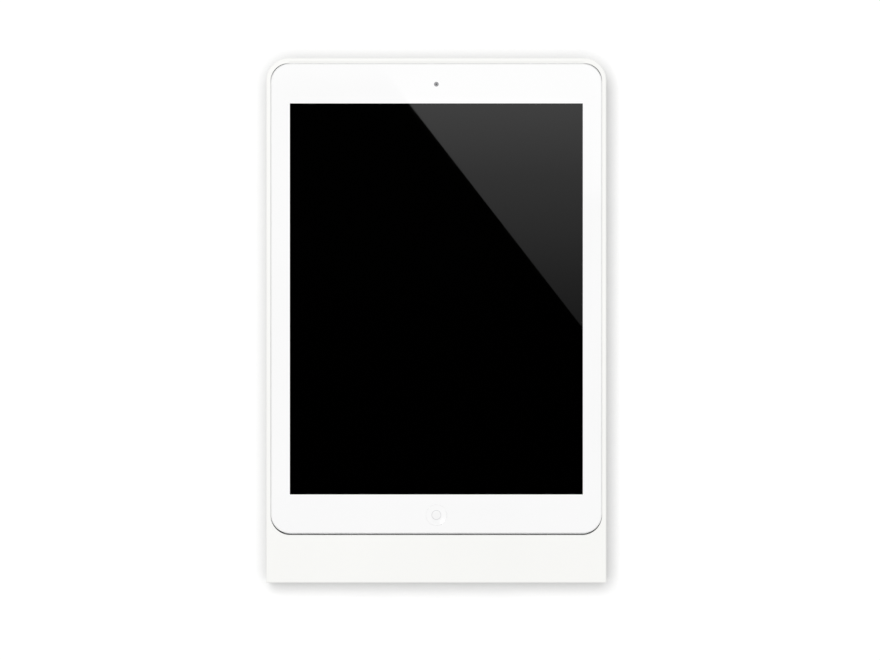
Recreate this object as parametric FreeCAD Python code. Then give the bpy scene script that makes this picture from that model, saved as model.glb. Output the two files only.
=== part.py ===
"""Wall mount for a tablet.

A white one-piece frame holds a docked tablet against a ribbed tray on a steel wall plate. Millimetres.
X runs to the right seen from the front, Z runs up, and the front faces -Y. The origin is on the wall,
at the back face of the plate, in the middle of the mount's width and height and of the wall box.
"""

import FreeCAD, Part
import os

V = FreeCAD.Vector

# Tablet that the mount is made for
tablet_width = 169.5
tablet_height = 240.0
tablet_depth = 7.5
tablet_corner = 10.2
tablet_back_round = 2.8
tablet_chamfer = 0.6
housing_wall = 1.6
housing_floor = 0.9
glass_land = 0.1
gasket_width = 0.35
glass_thick = 0.8
screen_side_border = 10.55
screen_end_border = 20.85
screen_drop = 0.3
panel_border = 2.2
panel_thick = 1.8

# Frame around the tablet
frame_wall = 1.5
frame_corner = 11.4
frame_edge = 0.4
opening_top_corner = 9.0
opening_low_corner = 10.0
chin_height = 24.25
chin_thick = 1.2
chin_gap = 0.35
top_room = 0.7
side_gap = 0.2
lip_cover = 0.5
lip_thick = 0.6
lip_edge = 0.2
top_bevel = 0.4
glass_recess = 0.5
wall_gap = 0.5
vent_length = 22.0
vent_width = 2.4
vent_pitch = 30.0
vent_count = 3

# Wall plate and its screw patterns
plate_thick = 1.5
plate_inset = 1.2
plate_low_corner = 4.0
window_width = 42.0
window_height = 56.0
window_corner = 4.0
box_spacing = 60.0
gang_spacing = 83.3
slot_length = 9.0
slot_width = 4.2
corner_spacing_x = 130.0
corner_spacing_z = 180.0
corner_hole_radius = 2.25
driver_radius = 5.5

# Tray and dock base between the plate and the tablet
tray_clear = 0.8
tray_floor_thick = 1.5
tray_rim = 2.5
tray_wall = 1.6
tray_low_corner = 3.0
seam_gap = 0.15
rib_thick = 1.2
rib_back = 0.3
rib_rows = 6
channel_width = 9.6
locator_gap = 0.2
locator_height = 8.0
pad_thick = 0.9
pad_width = 24.0
pad_height = 12.0
pad_gap = 0.1
pad_x = 42.0
pad_side_in = 22.15
pad_inset = 26.0
boss_rim = 1.0
ledge_in = 34.15
ledge_width = 14.0
ledge_thick = 2.4
ledge_front_gap = 0.9
ledge_pad_inset = 1.0
ledge_pad_thick = 0.5
gusset_height = 11.0
gusset_thick = 1.6
catch_x = 30.0
catch_length = 24.0
catch_thick = 0.5
catch_reach = 2.0

# Screws that hold the tray and the dock base to the plate
tray_screw_in = 8.15
tray_screw_down = 14.0
base_screw_up = 5.1
tray_screw_radius = 1.45
tray_screw_head = 3.0
tray_screw_head_thick = 1.2
tray_screw_cross = 3.4
tray_screw_arm = 0.9
tray_screw_recess = 0.7
tray_screw_end_gap = 0.2
screw_gap = 0.1
thread_gap = 0.05

# Magnets and the steel keepers that they hold
magnet_size = 12.0
magnet_thick = 3.0
magnet_gap = 0.2
magnet_fit = 0.05
post_wall = 2.0
chin_magnet_in = 16.15
keeper_width = 20.0
keeper_height = 16.0
keeper_thick = 0.8
top_magnet_x = 31.0
top_magnet_length = 20.0
top_magnet_depth = 3.0
top_magnet_height = 2.0
top_keeper_length = 36.0
top_keeper_depth = 4.6
top_keeper_thick = 0.5

# Sliding cradle for the charging plug
cradle_half = 13.0
cradle_height = 11.0
cradle_top_gap = 1.1
cradle_travel = 7.5
socket_width = 8.4
socket_depth = 4.4
socket_web = 1.4
cradle_back_gap = 0.4
cap_gap = 0.2
cap_thick = 0.7
tongue_out = 1.4
tongue_depth = 1.6
tongue_y = 2.0
guide_gap = 0.25
guide_width = 4.0
guide_depth = 6.0
wing_height = 6.0
wing_depth = 4.4
hook_in = 0.8
hook_depth = 0.8
clip_gap = 0.05

# Home button and side keys of the tablet
home_up = 9.8
home_radius = 5.3
home_gap = 0.1
home_flange = 1.2
home_flange_thick = 0.6
home_travel = 0.4
home_dish = 0.35
home_switch_width = 8.8
home_switch_high = 2.2
key_width = 2.2
key_gap = 0.1
key_out = 0.4
key_flange = 0.6
key_travel = 0.3
switch_depth = 1.5
switch_length = 4.4
volume_length = 10.0
volume_up_down = 34.0
volume_down_down = 46.5
power_length = 10.0
power_in = 21.75
slider_length = 4.2
slider_travel = 1.5
slider_down = 21.0
relief_depth = 0.5
relief_margin = 4.0

# Parts inside the tablet
camera_down = 10.9
camera_size = 6.8
camera_eye_radius = 2.25
camera_eye_depth = 0.6
rear_camera_in = 12.25
rear_camera_down = 12.5
rear_camera_size = 8.4
rear_camera_depth = 4.2
lens_radius = 3.6
lens_thick = 0.45
lens_seat = 0.45
lens_gap = 0.05
jack_in = 14.6
jack_radius = 1.75
jack_width = 6.4
jack_depth = 4.7
jack_length = 12.0
jack_end = 0.6
port_width = 8.8
port_thick = 2.8
port_wall = 0.3
port_body_width = 13.6
port_body_length = 5.4
speaker_start = 20.0
speaker_length = 26.0
speaker_height = 8.8
speaker_front_gap = 0.6
sound_slot_length = 20.0
sound_slot_width = 1.3
battery_gap = 4.0
battery_side_gap = 10.75
battery_low = 22.0
battery_high = 56.0
battery_front_gap = 0.4
board_side_gap = 26.75
board_low = 52.0
board_high = 19.0
board_thick = 0.8
board_stand = 0.7
stand_width = 4.4
shield_count = 3
shield_front_gap = 0.5
shield_margin = 3.0
inner_gap = 0.1
cut = 1.0

# Places that follow from those sizes
half_tablet = tablet_width / 2
inner_half = half_tablet + side_gap
half_frame = inner_half + frame_wall
frame_height = chin_height + chin_gap + tablet_height + top_room + frame_wall
base = -frame_height / 2
frame_high = base + frame_height
inner_low = base + frame_wall
inner_high = frame_high - frame_wall
chin_high = base + chin_height
chin_mid = (inner_low + chin_high) / 2
tablet_low = chin_high + chin_gap
tablet_high = tablet_low + tablet_height
tablet_mid = (tablet_low + tablet_high) / 2

plate_front = -plate_thick
tray_face = plate_front - tray_floor_thick
tray_edge = tray_face - tray_rim
tray_mid_y = (tray_edge + plate_front) / 2
rib_edge = tray_edge + rib_back
pad_front = tray_edge - pad_thick
tablet_back = pad_front - pad_gap
glass_front = tablet_back - tablet_depth
glass_back = glass_front + glass_thick
panel_back = glass_back + panel_thick
housing_inside = tablet_back - housing_floor
board_back = housing_inside - board_stand
tablet_mid_y = (glass_front + tablet_back) / 2
front = glass_front - glass_recess
lip_back = front + lip_thick
chin_back = front + chin_thick
keeper_back = chin_back + keeper_thick
magnet_front = keeper_back + magnet_gap

tray_half = inner_half - tray_clear
tray_low = inner_low + tray_clear
tray_high = inner_high - tray_clear
tray_top_corner = frame_corner - frame_wall - tray_clear
pad_side_x = tray_half - pad_side_in
pad_rows = (tablet_low + pad_inset, tablet_high - pad_inset)
rib_pitch = (pad_rows[1] - pad_rows[0]) / (rib_rows - 1)
ledge_x = tray_half - ledge_in
ledge_top = tablet_low - pad_gap - ledge_pad_thick
ledge_front = chin_back + ledge_front_gap
chin_magnet_x = tray_half - chin_magnet_in

cradle_high = tablet_low - cradle_top_gap
cradle_low = cradle_high - cradle_height
cradle_mid = (cradle_low + cradle_high) / 2
cap_front = chin_back + cap_gap
cap_back = cap_front + cap_thick
socket_back = cap_back + socket_depth
web_back = socket_back + socket_web
cradle_back = tray_face - cradle_back_gap
port_y = (cap_back + socket_back) / 2
shelf_low = cradle_high + guide_gap
seam = shelf_low + tray_wall

home_z = tablet_low + home_up
camera_z = tablet_high - camera_down
rear_camera_x = half_tablet - rear_camera_in
rear_camera_z = tablet_high - rear_camera_down
jack_x = jack_in - half_tablet
power_x = half_tablet - power_in
key_y = (glass_front + tablet_chamfer + tablet_back - tablet_back_round) / 2
board_side = half_tablet - board_side_gap


def block(x, y, z):
    """A box between two limits on each axis."""
    (x0, x1), (y0, y1), (z0, z1) = sorted(x), sorted(y), sorted(z)
    return Part.makeBox(x1 - x0, y1 - y0, z1 - z0, V(x0, y0, z0))


def about(middle, size):
    """The two limits of a size about its middle."""
    return (middle - size / 2, middle + size / 2)


def centred(x, width, y, z, height):
    """A box of a width and height about a point, between two depths."""
    return block(about(x, width), y, about(z, height))


def panel(half, y, z, top_corner, low_corner):
    """A plate that is symmetric in X, with its upright corners rounded."""
    body = block((-half, half), y, z)
    middle = sum(z) / 2
    for upper, radius in ((True, top_corner), (False, low_corner)):
        edges = [e for e in body.Edges if along_y(e) and (e.CenterOfMass.z > middle) == upper]
        if radius > 0:
            body = body.makeFillet(radius, edges)
    return body


def along_y(edge):
    """Whether a straight edge runs front to back."""
    box = edge.BoundBox
    return box.YLength > 1e-6 and box.XLength < 1e-6 and box.ZLength < 1e-6


def edges_at_depth(body, y):
    """The edges of a solid that lie at one depth."""
    return [e for e in body.Edges if abs(e.BoundBox.YMin - y) < 1e-6 and abs(e.BoundBox.YMax - y) < 1e-6]


def rod_x(y, z, radius, x):
    """A cylinder along X between two limits."""
    return Part.makeCylinder(radius, max(x) - min(x), V(min(x), y, z), V(1, 0, 0))


def rod_y(x, z, radius, y):
    """A cylinder along Y between two limits."""
    return Part.makeCylinder(radius, max(y) - min(y), V(x, min(y), z), V(0, 1, 0))


def rod_z(x, y, radius, z):
    """A cylinder along Z between two limits."""
    return Part.makeCylinder(radius, max(z) - min(z), V(x, y, min(z)), V(0, 0, 1))


def join(pieces):
    """One solid from pieces that overlap or meet."""
    return pieces[0].fuse(list(pieces[1:])).removeSplitter()


def level_slot(x, z, length, width, y):
    """A round-ended slot cut along Y, long in X."""
    reach = (length - width) / 2
    middle = centred(x, 2 * reach, y, z, width)
    return join([middle] + [rod_y(x + side * reach, z, width / 2, y) for side in (-1, 1)])


def upright_slot(x, z, length, width, y):
    """A round-ended slot cut along Y, long in Z."""
    reach = (length - width) / 2
    middle = centred(x, width, y, z, 2 * reach)
    return join([middle] + [rod_y(x, z + side * reach, width / 2, y) for side in (-1, 1)])


def slot_z(x, y, length, width, z):
    """A round-ended slot cut along Z, long in X."""
    reach = (length - width) / 2
    middle = block((x - reach, x + reach), about(y, width), z)
    return join([middle] + [rod_z(x + side * reach, y, width / 2, z) for side in (-1, 1)])


def pair(make):
    """A piece made on the right and its mirror image on the left."""
    right = make()
    return [right, right.mirror(V(0, 0, 0), V(1, 0, 0))]


def tray_screw_places():
    """Where the tray's two screws go. The dock base's catches hold its lower edge."""
    return [(side * (tray_half - tray_screw_in), tablet_high - tray_screw_down) for side in (-1, 1)]


def base_screw_places():
    """Where the dock base's screws go, under its ledges."""
    return [(side * ledge_x, tray_low + base_screw_up) for side in (-1, 1)]


def pad_places():
    """Where the pads behind the tablet sit."""
    corners = [(side * pad_x, z) for z in pad_rows for side in (-1, 1)]
    return corners + [(side * pad_side_x, tablet_mid) for side in (-1, 1)]


def corner_places():
    """Where the four wall screws go."""
    return [(i * corner_spacing_x / 2, j * corner_spacing_z / 2) for i in (-1, 1) for j in (-1, 1)]


def window(y):
    """The window that the cable comes through."""
    return panel(window_width / 2, y, about(0, window_height), window_corner, window_corner)


def wall_plate():
    """Steel plate with a window for the wall box and every pattern of wall screws."""
    z = (tray_low + plate_inset, tray_high - plate_inset)
    half = tray_half - plate_inset
    plate = panel(half, (plate_front, 0), z, tray_top_corner - plate_inset, plate_low_corner)
    through = (plate_front - cut, cut)
    cuts = [window(through)]
    for side in (-1, 1):
        cuts.append(level_slot(side * box_spacing / 2, 0, slot_length, slot_width, through))
        cuts.append(upright_slot(0, side * gang_spacing / 2, slot_length, slot_width, through))
    cuts += [rod_y(x, z, corner_hole_radius, through) for x, z in corner_places()]
    tapped = tray_screw_radius + thread_gap
    cuts += [rod_y(x, z, tapped, through) for x, z in tray_screw_places() + base_screw_places()]
    return plate.cut(cuts)


def moulding(z, top_corner, low_corner):
    """Open tray with a floor and a wall all round, between two heights."""
    outside = panel(tray_half, (tray_edge, plate_front), z, top_corner, low_corner)
    inner_z = (z[0] + tray_wall, z[1] - tray_wall)
    corners = [max(corner - tray_wall, 0) for corner in (top_corner, low_corner)]
    return outside.cut(panel(tray_half - tray_wall, (tray_edge - cut, tray_face), inner_z, *corners))


def cable_channel():
    """The room for the cable from the wall box down to the cradle."""
    return block(about(0, channel_width), (tray_edge - cut, plate_front + cut), (tray_low + tray_wall, 0))


def tray_ribs(low):
    """Grid of ribs on the tray's floor, with a frame round the window and walls along the cable channel."""
    depth = (rib_edge, tray_face)
    reach = tray_half - tray_wall / 2
    rows = [pad_rows[0] + i * rib_pitch for i in range(rib_rows)]
    level = [block((-reach, reach), depth, about(z, rib_thick)) for z in rows]
    upright = pair(lambda: block(about(pad_x, rib_thick), depth, (low, tray_high - tray_wall / 2)))
    channel = channel_width / 2
    walls = pair(lambda: block((channel, channel + rib_thick), depth, (low, -window_height / 2)))
    around = centred(0, window_width + 2 * rib_thick, depth, 0, window_height + 2 * rib_thick)
    return level + upright + walls + [around]


def tray():
    """Moulded tray with a rim, ribs, pad bosses, pockets for magnets and locating tabs for the frame."""
    low = seam + seam_gap
    depth = (tray_edge, plate_front)
    pieces = [moulding((low, tray_high), tray_top_corner, 0)] + tray_ribs(low)
    for x, z in pad_places():
        boss = centred(x, pad_width + 2 * boss_rim, (tray_edge, tray_face), z, pad_height + 2 * boss_rim)
        pieces.append(boss)
    pocket_z = (tray_high - top_magnet_height - tray_wall, tray_high)
    pieces += pair(lambda: block(about(top_magnet_x, top_magnet_length + 2 * tray_wall), depth, pocket_z))
    tab_x = (tray_half - tray_wall / 2, inner_half - locator_gap)
    for z in (pad_rows[0], tablet_mid, pad_rows[1]):
        pieces += pair(lambda: block(tab_x, depth, about(z, locator_height)))
    through = (tray_edge - cut, cut)
    slot_path = slot_length - slot_width
    access = slot_path + 2 * driver_radius
    cuts = [window(through), cable_channel()]
    cuts.append(upright_slot(0, gang_spacing / 2, access, 2 * driver_radius, through))
    magnet_y = about(tray_mid_y, top_magnet_depth + 2 * magnet_fit)
    for side in (-1, 1):
        cuts.append(level_slot(side * box_spacing / 2, 0, access, 2 * driver_radius, through))
        cuts.append(centred(side * top_magnet_x, top_magnet_length + 2 * magnet_fit, magnet_y,
                            tray_high, 2 * top_magnet_height))
    cuts += [rod_y(x, z, driver_radius, through) for x, z in corner_places()]
    cuts += [rod_y(x, z, tray_screw_radius + screw_gap, through) for x, z in tray_screw_places()]
    return join(pieces).cut(cuts)


def ledge():
    """Shelf on the right that the tablet's bottom edge stands on, with two gussets."""
    low = ledge_top - ledge_thick
    pieces = [block(about(ledge_x, ledge_width), (ledge_front, tray_face), (low, ledge_top))]
    for side in (-1, 1):
        x = ledge_x + side * (ledge_width - gusset_thick) / 2 - gusset_thick / 2
        corners = [V(x, tray_face, low), V(x, ledge_front, low), V(x, tray_face, low - gusset_height)]
        face = Part.Face(Part.makePolygon(corners + corners[:1]))
        pieces.append(face.extrude(V(gusset_thick, 0, 0)))
    return join(pieces)


def cradle_guide():
    """Upright post on the right with the groove that the cradle's tongue runs in."""
    x = cradle_half + guide_gap
    z = (cradle_low - cradle_travel - guide_gap, shelf_low + tray_wall / 2)
    post = block((x, x + guide_width), (tray_face - guide_depth, tray_face), z)
    groove_y = about(tray_face - tongue_y, tongue_depth + 2 * guide_gap)
    return post.cut(block((x - cut, x + tongue_out), groove_y, (z[0] - cut, shelf_low)))


def dock_base():
    """Moulded base behind the chin with the ledges, magnet posts, cradle guides and catches for the tray."""
    pieces = [moulding((tray_low, seam), 0, tray_low_corner)]
    pieces += pair(ledge) + pair(cradle_guide)
    post = magnet_size + 2 * post_wall
    pieces += pair(lambda: centred(chin_magnet_x, post, (magnet_front, tray_face), chin_mid, post))
    catch_y = (tray_edge - catch_thick, tray_edge)
    pieces += pair(lambda: block(about(catch_x, catch_length), catch_y, (shelf_low, seam + catch_reach)))
    pocket_y = (magnet_front - cut, magnet_front + magnet_thick)
    pocket = magnet_size + 2 * magnet_fit
    cuts = [cable_channel()] + pair(lambda: centred(chin_magnet_x, pocket, pocket_y, chin_mid, pocket))
    through = (tray_face - cut, cut)
    cuts += [rod_y(x, z, tray_screw_radius + screw_gap, through) for x, z in base_screw_places()]
    return join(pieces).cut(cuts)


def tray_screws():
    """Pan-head screws with cross recesses, from the tray's and the dock base's floors into the plate."""
    top = tray_face - tray_screw_head_thick
    recess = (top - cut, top + tray_screw_recess)
    screws = []
    for x, z in tray_screw_places() + base_screw_places():
        head = rod_y(x, z, tray_screw_head, (top, tray_face))
        arms = [centred(x, tray_screw_cross, recess, z, tray_screw_arm),
                centred(x, tray_screw_arm, recess, z, tray_screw_cross)]
        shank = rod_y(x, z, tray_screw_radius, (tray_face, -tray_screw_end_gap))
        screws.append(head.cut(arms).fuse(shank))
    return screws


def rest_pads():
    """Rubber pads that the tablet's back rests on."""
    return [centred(x, pad_width, (pad_front, tray_edge), z, pad_height) for x, z in pad_places()]


def ledge_pads():
    """Rubber pads under the tablet's bottom edge."""
    x = about(ledge_x, ledge_width - 2 * ledge_pad_inset)
    return pair(lambda: block(x, (ledge_front, tablet_back), (ledge_top, ledge_top + ledge_pad_thick)))


def chin_magnets():
    """Square magnets in the posts behind the chin."""
    y = (magnet_front, magnet_front + magnet_thick)
    return pair(lambda: centred(chin_magnet_x, magnet_size, y, chin_mid, magnet_size))


def top_magnets():
    """Bar magnets in the top edge of the tray."""
    y = about(tray_mid_y, top_magnet_depth)
    z = (tray_high - top_magnet_height, tray_high)
    return pair(lambda: block(about(top_magnet_x, top_magnet_length), y, z))


def cap_wing(gap):
    """Side wing of the cradle's cap with its hook, or with a gap the recess that it clips into."""
    z = about(cradle_mid, wing_height + 2 * gap)
    outer = cradle_half + (cut if gap else 0)
    inner = cradle_half - cap_thick - gap
    back = cap_back + wing_depth + gap
    wing = block((inner, outer), (cap_back, back), z)
    hook = block((inner - hook_in, outer), (back - hook_depth - 2 * gap, back), z)
    return join([wing, hook])


def plug_cradle():
    """Block with a socket for a charging plug, a slot behind it for the cable and a tongue on each side."""
    height = (cradle_low, cradle_high)
    tall = (cradle_low - cut, cradle_high + cut)
    tongue_depths = about(tray_face - tongue_y, tongue_depth)
    pieces = [block((-cradle_half, cradle_half), (cap_back, cradle_back), height)]
    pieces += pair(lambda: block((cradle_half - cut, cradle_half + tongue_out), tongue_depths, height))
    socket = block(about(0, socket_width), (cap_back - cut, socket_back), tall)
    channel = block(about(0, channel_width), (web_back, cradle_back + cut), tall)
    return join(pieces).cut([socket, channel] + pair(lambda: cap_wing(clip_gap)))


def cradle_cap():
    """Steel cap that closes the front of the plug's socket and clips onto the cradle with two wings."""
    cap = block((-cradle_half, cradle_half), (cap_front, cap_back), (cradle_low, cradle_high))
    return join([cap] + pair(lambda: cap_wing(0)))


def top_slope(low):
    """The shallow slope of the lip along the top, down to the opening's edge."""
    half = half_frame - frame_corner
    inner_y = front + top_bevel
    corners = [V(-half, front - cut, inner_high), V(-half, front, inner_high), V(-half, inner_y, low),
               V(-half, inner_y, low - cut), V(-half, front - cut, low - cut)]
    return Part.Face(Part.makePolygon(corners + corners[:1])).extrude(V(2 * half, 0, 0))


def frame_opening(grow, y):
    """The outline of the frame's opening, grown by that much, between two depths."""
    z = (chin_high - grow, tablet_high - lip_cover + grow)
    return panel(half_tablet - lip_cover + grow, y, z, opening_top_corner + grow, opening_low_corner + grow)


def front_frame():
    """One-piece frame: a wall all round, a thin lip over the tablet's edge and a plain chin."""
    shell = panel(half_frame, (front, -wall_gap), (base, frame_high), frame_corner, 0)
    shell = shell.makeChamfer(frame_edge, edges_at_depth(shell, front))
    behind_lip = panel(inner_half, (lip_back, cut), (chin_high, inner_high), frame_corner - frame_wall, 0)
    behind_chin = block((-inner_half, inner_half), (chin_back, cut), (inner_low, chin_high + cut))
    opening_high = tablet_high - lip_cover
    opening = frame_opening(0, (front - cut, lip_back + cut))
    flare = frame_opening(lip_edge, (front - cut, front + lip_edge))
    flare = flare.makeChamfer(lip_edge, edges_at_depth(flare, front + lip_edge))
    key_high = tablet_high - slider_down + slider_length + relief_margin
    key_low = tablet_high - volume_down_down - volume_length / 2 - relief_margin
    relief = block((inner_half - cut, inner_half + relief_depth), (lip_back, cut), (key_low, key_high))
    cuts = [behind_lip, behind_chin, opening, flare, top_slope(opening_high), relief]
    vent_y = (chin_back - wall_gap) / 2
    for i in range(vent_count):
        x = (i - (vent_count - 1) / 2) * vent_pitch
        cuts.append(slot_z(x, vent_y, vent_length, vent_width, (base - cut, inner_low + cut)))
    return shell.cut(cuts)


def chin_keepers():
    """Steel plates inside the chin that the square magnets hold."""
    y = (chin_back, keeper_back)
    return pair(lambda: centred(chin_magnet_x, keeper_width, y, chin_mid, keeper_height))


def top_keepers():
    """Steel strips inside the frame's top wall, above the bar magnets."""
    y = about(tray_mid_y, top_keeper_depth)
    z = (inner_high - top_keeper_thick, inner_high)
    return pair(lambda: block(about(top_magnet_x, top_keeper_length), y, z))


def key_bar(length, width, x):
    """A round-ended bar along X, long in Z."""
    reach = (length - width) / 2
    middle = block(x, about(0, width), (-reach, reach))
    return join([middle] + [rod_x(0, side * reach, width / 2, x) for side in (-1, 1)])


def key(length, extra=0.0):
    """A side key at the origin, pressed along -X, with its bar through the wall and its flange inside."""
    neck = -housing_wall - key_gap
    bar = key_bar(length, key_width, (neck, key_out))
    flange_length = length + 2 * (key_flange + extra)
    flange = block((neck - key_flange, neck), about(0, key_width + 2 * key_flange), about(0, flange_length))
    return bar.fuse(flange).removeSplitter()


def on_side(shape, down):
    """Moves a key from the origin to the tablet's right edge."""
    moved = shape.copy()
    moved.translate(V(half_tablet, key_y, tablet_high - down))
    return moved


def on_top(shape):
    """Turns a key from the origin and moves it to the tablet's top edge."""
    moved = shape.copy()
    moved.rotate(V(0, 0, 0), V(0, 1, 0), -90)
    moved.translate(V(power_x, key_y, tablet_high))
    return moved


def key_slot(length, travel=0.0):
    """The slot in the housing's wall for a key, longer downwards where the key slides."""
    slot = key_bar(length + travel + 2 * key_gap, key_width + 2 * key_gap, (-housing_wall - cut, cut))
    slot.translate(V(0, 0, -travel / 2))
    return slot


def button_switches():
    """Small switches behind the volume and power keys."""
    outer = -housing_wall - key_gap - key_flange - key_travel - inner_gap
    switch = block((outer - switch_depth, outer), about(0, key_width), about(0, switch_length))
    return [on_side(switch, volume_up_down), on_side(switch, volume_down_down), on_top(switch)]


def tablet_outline(inset, y):
    """The tablet's outline drawn in by an inset, between two depths."""
    corner = tablet_corner - inset
    return panel(half_tablet - inset, y, (tablet_low + inset, tablet_high - inset), corner, corner)


def tablet_housing():
    """Aluminium tub with a rounded back, a bright chamfer at the front and its holes."""
    tub = tablet_outline(0, (glass_front, tablet_back))
    tub = tub.makeFillet(tablet_back_round, edges_at_depth(tub, tablet_back))
    tub = tub.makeChamfer(tablet_chamfer, edges_at_depth(tub, glass_front))
    seat = tablet_outline(tablet_chamfer + glass_land, (glass_front - cut, glass_back))
    hollow = tablet_outline(housing_wall, (glass_front - cut, housing_inside))
    low_wall = (tablet_low - cut, tablet_low + housing_wall + cut)
    high_wall = (tablet_high - housing_wall - cut, tablet_high + cut)
    cuts = [seat, hollow, slot_z(0, port_y, port_width, port_thick, low_wall)]
    sound_x = speaker_start + speaker_length / 2
    cuts += pair(lambda: block(about(sound_x, sound_slot_length), about(port_y, sound_slot_width), low_wall))
    cuts.append(rod_z(jack_x, tablet_mid_y, jack_radius, high_wall))
    lens_steps = ((lens_radius - lens_seat, housing_floor + cut), (lens_radius + lens_gap, lens_thick))
    for radius, depth in lens_steps:
        cuts.append(rod_y(rear_camera_x, rear_camera_z, radius, (tablet_back - depth, tablet_back + cut)))
    cuts += [on_side(key_slot(volume_length), down) for down in (volume_up_down, volume_down_down)]
    cuts += [on_top(key_slot(power_length)), on_side(key_slot(slider_length, slider_travel), slider_down)]
    stand_y = (board_back, housing_inside)
    stands = [centred(x, stand_width, stand_y, z, stand_width) for x, z in stand_places()]
    return join([tub.cut(cuts)] + stands)


def stand_places():
    """Where the logic board stands on the housing."""
    rows = (tablet_high - board_low + stand_width, tablet_high - board_high - stand_width)
    return [(side * (board_side - stand_width), z) for z in rows for side in (-1, 1)]


def tablet_glass():
    """Front glass with the round hole for the home button."""
    glass = tablet_outline(tablet_chamfer + glass_land + gasket_width, (glass_front, glass_back))
    return glass.cut(rod_y(0, home_z, home_radius + home_gap, (glass_front - cut, glass_back + cut)))


def glass_gasket():
    """Narrow plastic ring round the glass."""
    inset = tablet_chamfer + glass_land
    ring = tablet_outline(inset, (glass_front, glass_back))
    return ring.cut(tablet_outline(inset + gasket_width, (glass_front - cut, glass_back + cut)))


def display_panel():
    """Display module behind the glass."""
    width = tablet_width - 2 * (screen_side_border - panel_border)
    height = tablet_height - 2 * (screen_end_border - panel_border)
    return centred(0, width, (glass_back, panel_back), tablet_mid - screen_drop, height)


def battery_cells():
    """Two flat cells on the housing's floor."""
    x = (battery_gap / 2, half_tablet - battery_side_gap)
    y = (panel_back + battery_front_gap, housing_inside - inner_gap)
    z = (tablet_low + battery_low, tablet_high - battery_high)
    return pair(lambda: block(x, y, z))


def logic_board():
    """Circuit board on four stands above the battery."""
    z = (tablet_high - board_low, tablet_high - board_high)
    return block((-board_side, board_side), (board_back - board_thick, board_back), z)


def board_shields():
    """Steel cans on the board."""
    y = (panel_back + shield_front_gap, board_back - board_thick)
    z = (tablet_high - board_low + shield_margin, tablet_high - board_high - shield_margin)
    pitch = (2 * board_side - shield_margin) / shield_count
    starts = [-board_side + shield_margin + i * pitch for i in range(shield_count)]
    return [block((x, x + pitch - shield_margin), y, z) for x in starts]


def front_camera():
    """Camera module behind the glass, with a round eye against it."""
    eye_back = glass_back + camera_eye_depth
    body = centred(0, camera_size, (eye_back, board_back), camera_z, camera_size)
    return body.fuse(rod_y(0, camera_z, camera_eye_radius, (glass_back, eye_back))).removeSplitter()


def rear_camera():
    """Camera module behind the lens in the tablet's back."""
    back = housing_inside - inner_gap
    y = (back - rear_camera_depth, back)
    return centred(rear_camera_x, rear_camera_size, y, rear_camera_z, rear_camera_size)


def camera_lens():
    """Lens cover let into the tablet's back."""
    return rod_y(rear_camera_x, rear_camera_z, lens_radius, (tablet_back - lens_thick, tablet_back))


def port_connector():
    """Charging socket behind the port's opening."""
    low = tablet_low + housing_wall
    high = low + port_body_length
    body = block(about(0, port_body_width), about(port_y, port_thick + 2 * port_wall), (low, high))
    return body.cut(slot_z(0, port_y, port_width, port_thick, (low - cut, high - port_wall)))


def speakers():
    """Speaker boxes behind the sound slots."""
    low = tablet_low + housing_wall
    x = (speaker_start, speaker_start + speaker_length)
    y = (glass_back + speaker_front_gap, board_back)
    return pair(lambda: block(x, y, (low, low + speaker_height)))


def headphone_jack():
    """Jack body with its bore."""
    high = tablet_high - housing_wall
    low = high - jack_length
    body = block(about(jack_x, jack_width), about(tablet_mid_y, jack_depth), (low, high))
    return body.cut(rod_z(jack_x, tablet_mid_y, jack_radius, (low + jack_end, high + cut)))


def home_button():
    """Dished round button with a flange behind the glass."""
    flange_front = glass_back + home_gap
    cap = rod_y(0, home_z, home_radius, (glass_front, flange_front))
    flange = rod_y(0, home_z, home_radius + home_flange, (flange_front, flange_front + home_flange_thick))
    ball_radius = (home_radius ** 2 + home_dish ** 2) / (2 * home_dish)
    ball = Part.makeSphere(ball_radius, V(0, glass_front - ball_radius + home_dish, home_z))
    return cap.fuse(flange).cut(ball).removeSplitter()


def home_switch():
    """Switch behind the home button."""
    y = glass_back + home_gap + home_flange_thick + home_travel + inner_gap
    z = (tablet_low + housing_wall + port_body_length + inner_gap, home_z + home_switch_high)
    return block(about(0, home_switch_width), (y, y + switch_depth), z)


NODES = {
    "wall_plate": wall_plate,
    "tray": tray,
    "dock_base": dock_base,
    "tray_screws": tray_screws,
    "rest_pads": rest_pads,
    "ledge_pads": ledge_pads,
    "chin_magnets": chin_magnets,
    "top_magnets": top_magnets,
    "plug_cradle": plug_cradle,
    "cradle_cap": cradle_cap,
    "front_frame": front_frame,
    "chin_keepers": chin_keepers,
    "top_keepers": top_keepers,
    "tablet_housing": tablet_housing,
    "tablet_glass": tablet_glass,
    "glass_gasket": glass_gasket,
    "display_panel": display_panel,
    "battery_cells": battery_cells,
    "logic_board": logic_board,
    "board_shields": board_shields,
    "front_camera": front_camera,
    "rear_camera": rear_camera,
    "camera_lens": camera_lens,
    "port_connector": port_connector,
    "speakers": speakers,
    "headphone_jack": headphone_jack,
    "home_switch": home_switch,
    "button_switches": button_switches,
    "home_button": home_button,
    "power_button": lambda: on_top(key(power_length)),
    "volume_up": lambda: on_side(key(volume_length), volume_up_down),
    "volume_down": lambda: on_side(key(volume_length), volume_down_down),
    "side_switch": lambda: on_side(key(slider_length, slider_travel), slider_down),
}

os.makedirs("parts", exist_ok=True)
for name, make in NODES.items():
    made = make()
    shape = Part.makeCompound(made) if isinstance(made, list) else made
    shape.exportStep(f"parts/{name}.step")
    good = all(solid.isValid() for solid in shape.Solids)
    print(name, len(shape.Solids), "solids", "valid" if good else "BROKEN", f"{shape.Volume:.1f} mm3")
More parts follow.
